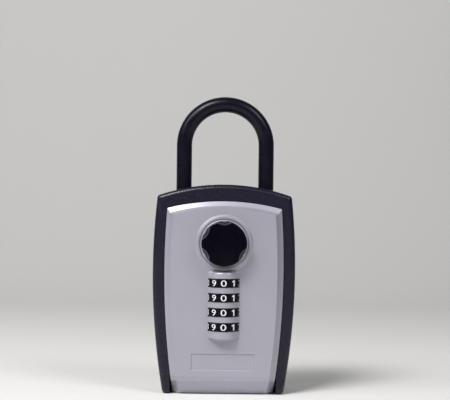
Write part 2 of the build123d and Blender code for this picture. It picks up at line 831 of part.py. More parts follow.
with BuildPart() as back_plate_screws:
    with BuildSketch(face_plane(plate_back)):
        with Locations(*post_places):
            Circle(screw_head_radius)
    extrude(amount=head_height, taper=45)
    with BuildSketch(face_plane(plate_back)):
        with Locations(*post_places):
            Circle(lid_screw_radius)
    extrude(amount=plate_thickness + lid_screw_length - slot_clearance)

back_plate_screws.part.label = "back_plate_screws"
export_step(back_plate_screws.part, "parts/back_plate_screws.step")


# Headed studs, riveted into the plate, that guide the latch slide
with BuildPart() as latch_studs:
    with BuildSketch(face_plane(plate_back)):
        with Locations(*stud_places):
            Circle(stud_radius)
    extrude(amount=latch_front + latch_gap - plate_back)
    with BuildSketch(face_plane(latch_front + latch_gap)):
        with Locations(*stud_places):
            Circle(stud_head_radius)
    extrude(amount=stud_head_thickness)

latch_studs.part.label = "latch_studs"
export_step(latch_studs.part, "parts/latch_studs.step")


# Leaf spring with one arm for each wheel; each arm's bead clicks into the rim's notches
with BuildPart() as detent_spring:
    with BuildSketch(face_plane(detent_back)) as leaf:
        with Locations((-detent_post_x, (detent_top + detent_bottom) / 2)):
            Rectangle(2 * detent_post_radius, detent_top - detent_bottom + 2 * detent_post_radius)
        with Locations(*[(-detent_post_x, z) for z in wheel_z]):
            Rectangle(
                detent_post_x - notch_x_at_back + rim_notch_radius,
                detent_arm_width,
                align=(Align.MIN, Align.CENTER),
            )
        with Locations(*detent_places):
            Circle(lid_screw_radius + running_fit, mode=Mode.SUBTRACT)
    extrude(amount=detent_thickness)
    for z in wheel_z:
        with BuildSketch(Plane.XY.offset(z - detent_arm_width / 2)):
            with Locations((-notch_x_at_back, back_to_y(detent_front))):
                Circle(rim_notch_radius)
                Rectangle(
                    2 * rim_notch_radius,
                    rim_notch_radius,
                    align=(Align.CENTER, Align.MIN),
                    mode=Mode.SUBTRACT,
                )
        extrude(amount=detent_arm_width)

detent_spring.part.label = "detent_spring"
export_step(detent_spring.part, "parts/detent_spring.step")


# Pan-head screws that hold the leaf spring to its posts
with BuildPart() as detent_screws:
    with BuildSketch(face_plane(detent_back)):
        with Locations(*detent_places):
            Circle(screw_head_radius)
    extrude(amount=-pan_head_height)
    fillet(detent_screws.edges().filter_by(GeomType.CIRCLE).group_by(Axis.Y)[-1], pan_head_height / 2)
    with BuildSketch(face_plane(detent_back)):
        with Locations(*detent_places):
            Circle(lid_screw_radius)
    extrude(amount=detent_thickness + lid_screw_length / 2 - slot_clearance)

detent_screws.part.label = "detent_screws"
export_step(detent_screws.part, "parts/detent_screws.step")


# Latch slide: one pressing with the bolt on top and a finger for each wheel
finger_z = [z + finger_above_wheel for z in gap_floor]
finger_tip_depth = wheel_axis_depth - finger_reach
spine_bottom = finger_z[-1] - finger_thickness
shoulder_bottom = knob_z - crank_radius - 2 * spine_half
shoulder_top = cover_crown_z - head_crown

with BuildPart() as latch_slide:
    with BuildSketch(face_plane(latch_back)) as pressing:
        with Locations((0, spine_bottom)):
            Rectangle(2 * spine_half, shoulder_top - spine_bottom, align=(Align.CENTER, Align.MIN))
        with Locations((0, shoulder_bottom)):
            Rectangle(
                2 * latch_shoulder_half, shoulder_top - shoulder_bottom, align=(Align.CENTER, Align.MIN)
            )
            Rectangle(2 * bolt_half, bolt_top_z - shoulder_bottom, align=(Align.CENTER, Align.MIN))
        fillet(pressing.vertices(), slide_corner)
        with Locations((0, knob_z)):
            Circle(crank_screw_radius + latch_gap, mode=Mode.SUBTRACT)
        with Locations((pin_x - crank_pin_radius - latch_gap, pin_z)):
            Rectangle(
                crank_offset - pin_x + 2 * (crank_pin_radius + latch_gap),
                2 * (crank_pin_radius + slot_clearance),
                align=(Align.MIN, Align.CENTER),
                mode=Mode.SUBTRACT,
            )
        with Locations(*[Location((x, z - latch_travel / 2), 90) for x, z in stud_places]):
            SlotCenterToCenter(latch_travel, 2 * (stud_radius + slot_clearance), mode=Mode.SUBTRACT)
    extrude(amount=latch_thickness)
    for z in finger_z:
        with BuildSketch(Plane.XY.offset(z)):
            with Locations((0, back_to_y(finger_tip_depth))):
                Rectangle(2 * finger_half, finger_tip_depth - latch_back, align=(Align.CENTER, Align.MIN))
        extrude(amount=finger_thickness)

latch_slide.part.label = "latch_slide"
export_step(latch_slide.part, "parts/latch_slide.step")


# Number wheels, each with notches between its digits and slots for the sleeve's splines
digit_step = 360 / digit_count


def axis_plane(z):
    """Level plane centred on the wheels' axis."""
    return Plane(origin=(0, axis_y, z), x_dir=(1, 0, 0), z_dir=(0, 0, 1))


def make_number_wheel(name, bottom_z):
    with BuildPart() as wheel:
        with BuildSketch(axis_plane(bottom_z)):
            Circle(wheel_radius)
        extrude(amount=wheel_thickness)
        chamfer(wheel.edges().filter_by(GeomType.CIRCLE), edge_break)
        with BuildSketch(axis_plane(bottom_z)):
            Circle(barrel_radius + running_fit)
            with PolarLocations(wheel_radius, digit_count, start_angle=90 + digit_step / 2):
                Circle(rim_notch_radius)
        extrude(amount=wheel_thickness, mode=Mode.SUBTRACT)
        with BuildSketch(axis_plane(bottom_z)):
            with PolarLocations(0, digit_count, start_angle=90):
                Rectangle(
                    spline_radius + spline_clearance,
                    2 * (spline_half + spline_clearance),
                    align=(Align.MIN, Align.CENTER),
                )
        extrude(amount=spline_height + 2 * spline_clearance, mode=Mode.SUBTRACT)
    wheel.part.label = name
    export_step(wheel.part, f"parts/{name}.step")


def make_code_sleeve(name, base_z, spline_z):
    with BuildPart() as sleeve:
        with BuildSketch(axis_plane(base_z)):
            Circle(barrel_radius)
        extrude(amount=sleeve_length)
        with BuildSketch(axis_plane(base_z)):
            Circle(flange_radius)
            with Locations((0, flange_radius - gate_depth)):
                Rectangle(
                    2 * (finger_half + gate_clearance),
                    2 * gate_depth,
                    align=(Align.CENTER, Align.MIN),
                    mode=Mode.SUBTRACT,
                )
        extrude(amount=flange_thickness)
        with BuildSketch(axis_plane(spline_z)):
            with PolarLocations(0, digit_count, start_angle=90):
                Rectangle(spline_radius, 2 * spline_half, align=(Align.MIN, Align.CENTER))
        extrude(amount=spline_height)
        with BuildSketch(axis_plane(base_z)):
            Circle(spindle_radius + running_fit)
        extrude(amount=sleeve_length, mode=Mode.SUBTRACT)
    sleeve.part.label = name
    export_step(sleeve.part, f"parts/{name}.step")


for i in range(wheel_count):
    make_number_wheel(f"number_wheel_{i + 1}", wheel_bottom[i])
    make_code_sleeve(f"code_sleeve_{i + 1}", sleeve_base[i], wheel_bottom[i] + running_fit)


# Spindle: a collar under the lowest sleeve and a neck for the reset slider
neck_bottom_z = reset_bottom_z - running_fit
neck_top_z = reset_top_z + running_fit

with BuildPart() as wheel_spindle:
    with BuildSketch(axis_plane(neck_bottom_z - neck_foot)):
        Circle(spindle_radius)
    extrude(amount=cavity_top_z + bearing_length - running_fit - neck_bottom_z + neck_foot)
    with BuildSketch(axis_plane(collar_top_z - collar_height)):
        Circle(collar_radius)
    extrude(amount=collar_height)
    with BuildSketch(axis_plane(neck_bottom_z)):
        Circle(spindle_radius)
        Circle(neck_radius, mode=Mode.SUBTRACT)
    extrude(amount=neck_top_z - neck_bottom_z, mode=Mode.SUBTRACT)
    with BuildSketch(axis_plane(clip_z - press_clearance)):
        Circle(spindle_radius)
        Circle(groove_radius, mode=Mode.SUBTRACT)
    extrude(amount=clip_thickness + 2 * press_clearance, mode=Mode.SUBTRACT)

wheel_spindle.part.label = "wheel_spindle"
export_step(wheel_spindle.part, "parts/wheel_spindle.step")


def make_clip(name, plane, inner, outer):
    """Retaining clip: a flat ring, open at one side."""
    with BuildPart() as clip:
        with BuildSketch(plane):
            Circle(outer)
            Circle(inner + press_clearance, mode=Mode.SUBTRACT)
            Rectangle(clip_opening * inner, outer, align=(Align.CENTER, Align.MAX), mode=Mode.SUBTRACT)
        extrude(amount=clip_thickness)
    clip.part.label = name
    export_step(clip.part, f"parts/{name}.step")


make_clip("spindle_clip", axis_plane(clip_z), groove_radius, collar_radius)


# Reset slider: a fork round the spindle's neck with a tab through the back plate
reset_length = face_inside - lock_gap - plate_back + reset_tab_out

with BuildPart() as reset_slider:
    with BuildSketch(Plane.XY.offset(reset_bottom_z)) as fork:
        with Locations((0, back_to_y(plate_back - reset_tab_out))):
            Rectangle(2 * reset_half, reset_length, align=(Align.CENTER, Align.MAX))
        fillet(fork.vertices(), pressed_corner)
        with Locations((0, back_to_y(wheel_axis_depth - neck_radius - running_fit))):
            Rectangle(
                2 * (neck_radius + running_fit),
                2 * bearing_half,
                align=(Align.CENTER, Align.MAX),
                mode=Mode.SUBTRACT,
            )
    extrude(amount=reset_thickness)

reset_slider.part.label = "reset_slider"
export_step(reset_slider.part, "parts/reset_slider.step")


# Spring that pushes the reset slider up
with BuildPart() as reset_spring:
    with BuildSketch(Plane.XY.offset(shelf_z + running_fit)):
        with Locations((0, back_to_y(spring_depth))):
            Circle(spring_outer_radius)
            Circle(spring_outer_radius - spring_wire, mode=Mode.SUBTRACT)
    extrude(amount=spring_length - 2 * running_fit)

reset_spring.part.label = "reset_spring"
export_step(reset_spring.part, "parts/reset_spring.step")


# Bright skirt under the knob's cap
with BuildPart() as knob_skirt:
    with BuildSketch(face_plane(knob_back)):
        with Locations((0, knob_z)):
            Circle(skirt_radius)
    extrude(amount=skirt_thickness)
    fillet(knob_skirt.edges().sort_by(Axis.Y)[0], skirt_thickness / 2)
    with BuildSketch(face_plane(knob_back)):
        with Locations((0, knob_z)):
            Circle(shaft_radius + press_clearance)
    extrude(amount=skirt_thickness, mode=Mode.SUBTRACT)

knob_skirt.part.label = "knob_skirt"
export_step(knob_skirt.part, "parts/knob_skirt.step")


# Knob cap: six slanting scallops that run out above the skirt
cap_back = knob_back + skirt_thickness
flute_tilt = degrees(atan2(flute_depth, face_depth + knob_height - cap_back))

with BuildPart() as knob_cap:
    with BuildSketch(face_plane(cap_back)):
        with Locations((0, knob_z)):
            Circle(knob_radius)
    extrude(amount=face_depth + knob_height - cap_back)
    fillet(knob_cap.edges().sort_by(Axis.Y)[0], knob_edge_radius)
    scallop_foot = face_plane(cap_back).location * Location((0, knob_z, 0))
    for i in range(flute_count):
        turned = scallop_foot * Location((0, 0, 0), (0, 0, i * 360 / flute_count))
        with Locations(turned * Location((0, knob_radius + flute_radius, 0), (flute_tilt, 0, 0))):
            Cylinder(flute_radius, 4 * knob_height, mode=Mode.SUBTRACT)
    with BuildSketch(face_plane(cap_back)):
        with Locations((0, knob_z)):
            Circle(shaft_radius + press_clearance)
    extrude(amount=shaft_in_knob - skirt_thickness, mode=Mode.SUBTRACT)

knob_cap.part.label = "knob_cap"
export_step(knob_cap.part, "parts/knob_cap.step")


# Knob shaft, grooved for its clip and bored for the crank's screw
knob_clip_back = knob_boss_back - press_clearance - clip_thickness

with BuildPart() as knob_shaft:
    with BuildSketch(face_plane(crank_front)):
        with Locations((0, knob_z)):
            Circle(shaft_radius)
    extrude(amount=knob_back + shaft_in_knob - press_clearance - crank_front)
    with BuildSketch(face_plane(knob_clip_back - press_clearance)):
        with Locations((0, knob_z)):
            Circle(shaft_radius)
            Circle(shaft_groove_radius, mode=Mode.SUBTRACT)
    extrude(amount=clip_thickness + 2 * press_clearance, mode=Mode.SUBTRACT)
    with BuildSketch(face_plane(crank_front)):
        with Locations((0, knob_z)):
            Circle(crank_screw_radius + press_clearance)
    extrude(amount=crank_screw_length + press_clearance, mode=Mode.SUBTRACT)

knob_shaft.part.label = "knob_shaft"
export_step(knob_shaft.part, "parts/knob_shaft.step")

make_clip(
    "knob_clip",
    Plane(origin=(0, back_to_y(knob_clip_back), knob_z), x_dir=(1, 0, 0), z_dir=(0, -1, 0)),
    shaft_groove_radius,
    clip_radius,
)


# Crank with the pin that works the latch
with BuildPart() as knob_crank:
    with BuildSketch(face_plane(crank_back)):
        with Locations((0, knob_z)):
            Circle(crank_radius)
            Circle(crank_screw_radius + press_clearance, mode=Mode.SUBTRACT)
    extrude(amount=crank_thickness)
    with BuildSketch(face_plane(crank_back)):
        with Locations((0, knob_z)):
            Circle(crank_head_radius + press_clearance)
    extrude(amount=crank_head_height, mode=Mode.SUBTRACT)
    with BuildSketch(face_plane(cover_back + crank_pin_gap)):
        with Locations((pin_x, pin_z)):
            Circle(crank_pin_radius)
    extrude(amount=crank_back - cover_back - crank_pin_gap + crank_head_height)

knob_crank.part.label = "knob_crank"
export_step(knob_crank.part, "parts/knob_crank.step")


# Screw that holds the crank on the shaft, its head sunk in the crank
with BuildPart() as crank_screw:
    with BuildSketch(face_plane(crank_back)):
        with Locations((0, knob_z)):
            Circle(crank_head_radius)
    extrude(amount=crank_head_height)
    with BuildSketch(face_plane(crank_back)):
        with Locations((0, knob_z)):
            Circle(crank_screw_radius)
    extrude(amount=crank_thickness + crank_screw_length)

crank_screw.part.label = "crank_screw"
export_step(crank_screw.part, "parts/crank_screw.step")
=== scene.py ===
import json
import math

import bmesh
import bpy
from bpy.props import FloatProperty, FloatVectorProperty, IntProperty, PointerProperty
from mathutils import Matrix, Vector


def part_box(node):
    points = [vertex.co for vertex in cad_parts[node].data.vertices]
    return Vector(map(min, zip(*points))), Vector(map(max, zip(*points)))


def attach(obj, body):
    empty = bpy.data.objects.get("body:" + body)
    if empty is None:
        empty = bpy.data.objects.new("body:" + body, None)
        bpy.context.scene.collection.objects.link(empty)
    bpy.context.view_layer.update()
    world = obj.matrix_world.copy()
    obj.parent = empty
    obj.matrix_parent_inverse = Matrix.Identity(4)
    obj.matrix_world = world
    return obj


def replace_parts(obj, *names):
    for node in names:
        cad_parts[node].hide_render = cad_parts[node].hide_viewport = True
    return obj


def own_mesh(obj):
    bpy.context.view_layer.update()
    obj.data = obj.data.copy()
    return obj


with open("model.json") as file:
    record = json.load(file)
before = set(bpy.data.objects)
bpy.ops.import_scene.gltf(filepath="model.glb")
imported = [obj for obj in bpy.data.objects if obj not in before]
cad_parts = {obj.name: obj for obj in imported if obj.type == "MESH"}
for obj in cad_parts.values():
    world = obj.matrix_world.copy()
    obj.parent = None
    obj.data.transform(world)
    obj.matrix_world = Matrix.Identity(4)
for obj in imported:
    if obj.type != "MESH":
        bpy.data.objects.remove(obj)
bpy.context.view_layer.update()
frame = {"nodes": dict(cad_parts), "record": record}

bl_info = {
    "name": "Combination key safe",
    "version": (1, 0, 0),
    "blender": (4, 5, 0),
    "location": "3D View > Sidebar > Key Safe",
    "description": "Finishes and fine pieces for a combination key safe with a removable shackle",
    "category": "Object",
}

MM = 0.001
WHEELS = (1, 2, 3, 4)
DIGITS = 10

# Steps of round forms
RIM_STEPS = 16
NOTCH_STEPS = 8
SCREW_SIDES = 40
COIL_STEPS = 20
WIRE_SIDES = 10
FLOOR_STEPS = 16

# Angles between faces above which an edge stays sharp, in degrees
WHEEL_SHARP = 28
SCREW_SHARP = 40
COIL_SHARP = 60

# Screw heads as depth from the flat face and radius, in millimetres
COUNTERSUNK_HEAD = ((0, 2.3), (-1.05, 1.25))
PAN_HEAD = ((0, 1.95), (-0.06, 2.24), (-0.22, 2.48), (-0.46, 2.64), (-0.75, 2.7), (-1.5, 2.7), (-1.5, 1.5))
# Cross recess: reach of a wing as a share of the head's face, and how far it narrows towards its foot
WING_SHARE = 0.72
FOOT_SHARE = 0.5

# Corners of the digit 1 as shares of its height: foot, head and the slanting flag
FLAGGED_ONE = ((0.0, 0.0), (0.24, 0.0), (0.24, 1.0), (0.02, 1.0), (-0.24, 0.84), (-0.24, 0.64), (0.0, 0.74))
# Where the first cut through a digit falls within a strip, clear of the digit's own upright edges
STRIP_SHIFT = 0.37

# Lamps: square, in metres, all aimed at one point of the safe
LAMP_SIZE = 0.5
LAMP_AIM = Vector((0, 0, 0.1))
KEY_PLACE = Vector((-0.5, -0.72, 1.12))
FILL_PLACE = Vector((0.75, -0.75, 1.0))
SIDE_PLACE = Vector((-0.95, -0.5, 0.9))

nodes = frame["nodes"]
joints = {joint["name"]: joint for joint in frame["record"]["behaviour"]["joints"]}
wheel_centres = {k: Vector(joints[f"wheel_{k}_turn"]["pos_m"]) for k in WHEELS}


def linear(hex_code):
    """Linear red, green, blue and alpha of an sRGB hex colour."""
    channels = [int(hex_code[i:i + 2], 16) / 255 for i in (1, 3, 5)]
    return [c / 12.92 if c <= 0.04045 else ((c + 0.055) / 1.055) ** 2.4 for c in channels] + [1.0]


def colour_property(name, description, hex_code):
    """A colour setting whose default is an sRGB hex value."""
    return FloatVectorProperty(
        name=name,
        description=description,
        subtype="COLOR",
        size=4,
        min=0.0,
        max=1.0,
        default=linear(hex_code),
    )


def length_property(name, description, millimetres):
    """A length setting, given in millimetres and kept in metres."""
    return FloatProperty(
        name=name,
        description=description,
        default=millimetres * MM,
        min=0.0,
        precision=6,
        unit="LENGTH",
    )


class KeySafeFinish(bpy.types.PropertyGroup):
    """Colours and surface sizes of the finishes."""

    coat_colour: colour_property("Powder coat", "Colour of the body's powder coat", "#110C22")
    coat_fleck_colour: colour_property("Mica fleck", "Colour of the flecks in the powder coat", "#7A788C")
    coat_grain: length_property("Coat grain", "Width of one pebble of the powder coat", 0.9)
    coat_relief: length_property("Coat relief", "Height of the powder coat's pebbles", 0.11)
    fleck_spacing: length_property("Fleck spacing", "Distance between mica flecks", 1.0)
    lacquer_colour: colour_property("Silver lacquer", "Colour of the door cover", "#A7A6B1")
    lacquer_flake: length_property("Lacquer flake", "Width of the flakes in the silver lacquer", 0.35)
    gloss_black: colour_property("Gloss black", "Colour of the knob", "#04030F")
    wheel_black: colour_property("Wheel black", "Colour of the number wheels", "#040410")
    ink_white: colour_property("Ink white", "Colour of the printed digits", "#E4E4EC")
    vinyl_black: colour_property("Vinyl black", "Colour of the shackle's sleeve", "#0C0A19")
    zinc_colour: colour_property("Zinc plate", "Colour of the zinc-plated steel", "#C3C5C9")
    spring_colour: colour_property("Spring steel", "Colour of the springs and clips", "#8F8D8C")
    brass_colour: colour_property("Brass", "Colour of the code sleeves", "#C8A765")
    oxide_colour: colour_property("Black oxide", "Colour of the blackened hinge pin", "#2A292C")
    alloy_colour: colour_property("Zinc alloy", "Colour of the bare die-cast slider", "#A5A6A9")


class KeySafeWheels(bpy.types.PropertyGroup):
    """Number wheels."""

    notch_radius: length_property("Notch radius", "Radius of the notches between the digits", 0.5)
    rim_edge: length_property("Rim edge", "Width of the chamfer along the rim", 0.3)
    bore_radius: length_property("Bore radius", "Radius of the bore, clear of the sleeve's splines", 6.35)


class KeySafeNumerals(bpy.types.PropertyGroup):
    """Digits on the number wheels."""

    height: length_property("Height", "Height of a digit", 4.0)
    zero_width: length_property("Width of 0", "Width of the digit 0", 3.7)
    one_width: length_property("Width of 1", "Width of the digit 1", 1.9)
    width: length_property("Width", "Width of the other digits", 3.1)
    relief: length_property("Relief", "How far the ink stands above the rim", 0.05)
    sink: length_property("Sink", "How far the digits reach into the rim", 0.2)
    strip: length_property("Strip", "Width of the strips that bend round the rim", 0.4)


class KeySafeHardware(bpy.types.PropertyGroup):
    """Screws and springs."""

    recess_width: length_property("Recess width", "Width of a wing of the cross recess", 0.6)
    recess_depth: length_property("Recess depth", "Depth of the cross recess", 0.8)
    spring_wire: length_property("Spring wire", "Thickness of the reset spring's wire", 0.6)
    spring_turns: IntProperty(name="Spring turns", description="Turns of the reset spring", default=7, min=3)


class KeySafeStage(bpy.types.PropertyGroup):
    """Floor, lamps and camera."""

    floor_colour: colour_property("Floor", "Colour of the floor and backdrop", "#E4E3E2")
    key_power: FloatProperty(name="Key lamp", description="Power of the key lamp", default=17.0, unit="POWER")
    fill_power: FloatProperty(
        name="Fill lamp", description="Power of the lamp on the right", default=6.0, unit="POWER"
    )
    side_power: FloatProperty(
        name="Side lamp", description="Power of the lamp on the left", default=4.0, unit="POWER"
    )
    world_light: FloatProperty(name="World light", description="Strength of the even light", default=0.1)
    lens: FloatProperty(name="Lens", description="Focal length in millimetres", default=104.6)
    distance: length_property("Distance", "Camera's distance from the middle of the safe", 862.6)
    eye_height: length_property("Eye height", "Height of the camera above the floor", 126.4)
    eye_offset: length_property("Eye offset", "Camera's distance to the right of the middle", 0.16)
    roll: FloatProperty(
        name="Roll", description="Lean of the camera", default=math.radians(-0.65), unit="ROTATION"
    )


SETTINGS = {
    "keysafe_finish": KeySafeFinish,
    "keysafe_wheels": KeySafeWheels,
    "keysafe_numerals": KeySafeNumerals,
    "keysafe_hardware": KeySafeHardware,
    "keysafe_stage": KeySafeStage,
}


def add_node(tree, kind, inputs=(), **properties):
    """Adds a node. A value in inputs is linked if it is a socket, and set if it is not."""
    node = tree.nodes.new(kind)
    for name, value in properties.items():
        setattr(node, name, value)
    for name, value in dict(inputs).items():
        if isinstance(value, bpy.types.NodeSocket):
            tree.links.new(value, node.inputs[name])
        else:
            node.inputs[name].default_value = value
    return node


def start_material(name, **shader_values):
    """A new material: itself, its tree, its shader and the piece's own coordinates in metres."""
    material = bpy.data.materials.new(name)
    material.use_nodes = True
    tree = material.node_tree
    shader = tree.nodes["Principled BSDF"]
    for socket, value in shader_values.items():
        shader.inputs[socket.replace("_", " ")].default_value = value
    place = add_node(tree, "ShaderNodeTexCoord").outputs["Object"]
    return material, tree, shader, place


def paint(names, material):
    """Gives the CAD nodes of these names a material."""
    for name in names:
        for slot in nodes[name].material_slots:
            slot.material = material


def feed_shader(tree, shader, colour, rough, bump):
    """Links a colour, a roughness and a bump to the shader."""
    tree.links.new(colour, shader.inputs["Base Color"])
    tree.links.new(rough.outputs["Result"], shader.inputs["Roughness"])
    tree.links.new(bump.outputs["Normal"], shader.inputs["Normal"])


def powder_coat(finish):
    """Polyester powder, sprayed and baked: a pebbled satin skin with a few paler mica flecks."""
    material, tree, shader, place = start_material("powder_coat_sprayed", Specular_IOR_Level=0.42)
    # Pebbles 0.9 mm wide: the real ones look finer, too fine for a picture of this size
    pebbles = add_node(
        tree,
        "ShaderNodeTexNoise",
        {"Vector": place, "Scale": 1 / finish.coat_grain, "Detail": 2.0, "Roughness": 0.55},
    )
    fleck_field = add_node(
        tree,
        "ShaderNodeTexVoronoi",
        {"Vector": place, "Scale": 1 / finish.fleck_spacing, "Randomness": 1.0},
    )
    fleck = add_node(
        tree,
        "ShaderNodeMapRange",
        {"Value": fleck_field.outputs["Distance"], 1: 0.08, 2: 0.18, 3: 1.0, 4: 0.0},
    )
    clusters = add_node(
        tree,
        "ShaderNodeMapRange",
        {"Value": pebbles.outputs[0], 1: 0.52, 2: 0.64},
    )
    fleck_here = add_node(
        tree,
        "ShaderNodeMath",
        {0: fleck.outputs["Result"], 1: clusters.outputs["Result"]},
        operation="MULTIPLY",
    )
    colour = add_node(
        tree,
        "ShaderNodeMix",
        {0: fleck_here.outputs["Value"], 6: finish.coat_colour, 7: finish.coat_fleck_colour},
        data_type="RGBA",
    )
    rough = add_node(
        tree,
        "ShaderNodeMapRange",
        {"Value": clusters.outputs["Result"], 3: 0.34, 4: 0.24},
    )
    bump = add_node(
        tree,
        "ShaderNodeBump",
        {"Height": pebbles.outputs[0], "Distance": finish.coat_relief, "Strength": 1.0},
    )
    feed_shader(tree, shader, colour.outputs[2], rough, bump)
    return material


def silver_lacquer(finish):
    """Metallic lacquer on a zinc casting: flakes under a thin clear coat, soft broad highlights."""
    material, tree, shader, place = start_material(
        "silver_lacquer_sprayed", Metallic=0.3, Coat_Weight=0.3, Coat_Roughness=0.16
    )
    # Flakes 0.35 mm wide: real ones are far finer, and only their even glitter shows
    flakes = add_node(
        tree,
        "ShaderNodeTexNoise",
        {"Vector": place, "Scale": 1 / finish.lacquer_flake, "Detail": 2.0, "Roughness": 0.7},
    )
    # Slow drift of the sprayed coat, about 25 mm from one tone to the next
    drift = add_node(
        tree,
        "ShaderNodeTexNoise",
        {"Vector": place, "Scale": 1 / (25 * MM), "Detail": 1.0},
    )
    tone = add_node(
        tree,
        "ShaderNodeMapRange",
        {"Value": flakes.outputs[0], 1: 0.3, 2: 0.7, 3: 0.95, 4: 1.04},
    )
    slow = add_node(
        tree,
        "ShaderNodeMapRange",
        {"Value": drift.outputs[0], 1: 0.3, 2: 0.7, 3: 0.98, 4: 1.02},
    )
    both = add_node(
        tree,
        "ShaderNodeMath",
        {0: tone.outputs["Result"], 1: slow.outputs["Result"]},
        operation="MULTIPLY",
    )
    colour = add_node(
        tree,
        "ShaderNodeVectorMath",
        {0: finish.lacquer_colour[:3], "Scale": both.outputs["Value"]},
        operation="SCALE",
    )
    rough = add_node(
        tree,
        "ShaderNodeMapRange",
        {"Value": flakes.outputs[0], 1: 0.3, 2: 0.7, 3: 0.4, 4: 0.33},
    )
    bump = add_node(
        tree,
        "ShaderNodeBump",
        {"Height": flakes.outputs[0], "Distance": 0.004 * MM, "Strength": 1.0},
    )
    feed_shader(tree, shader, colour.outputs["Vector"], rough, bump)
    return material


def moulded_plastic(name, colour, roughness, haze, grain, relief, **shader_values):
    """Injection-moulded plastic: an even colour with the faint waviness of the mould."""
    material, tree, shader, place = start_material(name, **shader_values)
    waves = add_node(
        tree,
        "ShaderNodeTexNoise",
        {"Vector": place, "Scale": 1 / grain, "Detail": 3.0, "Roughness": 0.5},
    )
    rough = add_node(
        tree,
        "ShaderNodeMapRange",
        {"Value": waves.outputs[0], 1: 0.3, 2: 0.7, 3: roughness - haze, 4: roughness + haze},
    )
    tone = add_node(
        tree,
        "ShaderNodeMapRange",
        {"Value": waves.outputs[0], 1: 0.3, 2: 0.7, 3: 0.92, 4: 1.08},
    )
    shade = add_node(
        tree,
        "ShaderNodeVectorMath",
        {0: colour[:3], "Scale": tone.outputs["Result"]},
        operation="SCALE",
    )
    bump = add_node(
        tree,
        "ShaderNodeBump",
        {"Height": waves.outputs[0], "Distance": relief, "Strength": 1.0},
    )
    feed_shader(tree, shader, shade.outputs["Vector"], rough, bump)
    return material


def worked_metal(name, colour, roughness, grain, stretch, relief):
    """Bare or plated metal: fine marks from rolling or turning, drawn out along one axis."""
    material, tree, shader, place = start_material(name, Metallic=1.0)
    drawn = add_node(tree, "ShaderNodeMapping", {"Vector": place, "Scale": stretch})
    marks = add_node(
        tree,
        "ShaderNodeTexNoise",
        {"Vector": drawn.outputs["Vector"], "Scale": 1 / grain, "Detail": 4.0, "Roughness": 0.6},
    )
    blotches = add_node(
        tree,
        "ShaderNodeTexNoise",
        {"Vector": place, "Scale": 1 / (9 * MM), "Detail": 2.0},
    )
    tone = add_node(
        tree,
        "ShaderNodeMapRange",
        {"Value": blotches.outputs[0], 1: 0.3, 2: 0.7, 3: 0.88, 4: 1.06},
    )
    shade = add_node(
        tree,
        "ShaderNodeVectorMath",
        {0: colour[:3], "Scale": tone.outputs["Result"]},
        operation="SCALE",
    )
    rough = add_node(
        tree,
        "ShaderNodeMapRange",
        {"Value": marks.outputs[0], 1: 0.3, 2: 0.7, 3: roughness * 0.8, 4: roughness * 1.3},
    )
    bump = add_node(
        tree,
        "ShaderNodeBump",
        {"Height": marks.outputs[0], "Distance": relief, "Strength": 1.0},
    )
    feed_shader(tree, shader, shade.outputs["Vector"], rough, bump)
    return material


def zinc_plate(finish):
    """Bright zinc plate on pressed steel: bluish white, with rolling marks along the height."""
    return worked_metal(
        "zinc_plated_steel_rolled", finish.zinc_colour, 0.3, 0.5 * MM, (1.0, 1.0, 0.08), 0.003 * MM
    )


def piece_from(name, bm, material, body):
    """A new piece from a bmesh, in the row frame, riding on a body."""
    mesh = bpy.data.meshes.new(name)
    bm.to_mesh(mesh)
    bm.free()
    mesh.materials.append(material)
    piece = bpy.data.objects.new(name, mesh)
    bpy.context.scene.collection.objects.link(piece)
    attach(piece, body)
    return piece


def skin(bm, rings):
    """Faces between each ring of vertices and the next."""
    for ring, following in zip(rings, rings[1:]):
        for i in range(len(ring)):
            e = (i + 1) % len(ring)
            bm.faces.new((ring[i], ring[e], following[e], following[i]))


def smooth_below(bm, degrees):
    """Shades every face smooth and marks the edges that are sharper than an angle."""
    for face in bm.faces:
        face.smooth = True
    for edge in bm.edges:
        if len(edge.link_faces) == 2:
            edge.smooth = edge.calc_face_angle() < math.radians(degrees)


class KEYSAFE_OT_body(bpy.types.Operator):
    """Finish the body shell with its textured powder coat"""

    bl_idname = "keysafe.body"
    bl_label = "Body shell"

    def execute(self, context):
        paint(["body_shell"], powder_coat(context.scene.keysafe_finish))
        return {"FINISHED"}


class KEYSAFE_OT_door(bpy.types.Operator):
    """Finish the door's cover in silver lacquer and its plate in zinc"""

    bl_idname = "keysafe.door"
    bl_label = "Door"

    def execute(self, context):
        finish = context.scene.keysafe_finish
        paint(["door_cover"], silver_lacquer(finish))
        paint(["door_back_plate"], zinc_plate(finish))
        return {"FINISHED"}


class KEYSAFE_OT_shackle(bpy.types.Operator):
    """Finish the shackle's steel bar and its vinyl sleeve"""

    bl_idname = "keysafe.shackle"
    bl_label = "Shackle"

    def execute(self, context):
        finish = context.scene.keysafe_finish
        # Soft PVC tube, extruded: a low sheen, with slow waves where it was pulled over the bar
        vinyl = moulded_plastic(
            "soft_pvc_extruded", finish.vinyl_black, 0.3, 0.05, 6 * MM, 0.03 * MM, Specular_IOR_Level=0.2
        )
        # Hardened steel bar, ground and plated: shinier than the pressed parts, with marks along its length
        bar = worked_metal(
            "hardened_steel_ground", finish.zinc_colour, 0.22, 0.4 * MM, (1.0, 1.0, 0.05), 0.002 * MM
        )
        paint(["shackle_sleeve"], vinyl)
        paint(["shackle_core"], bar)
        return {"FINISHED"}


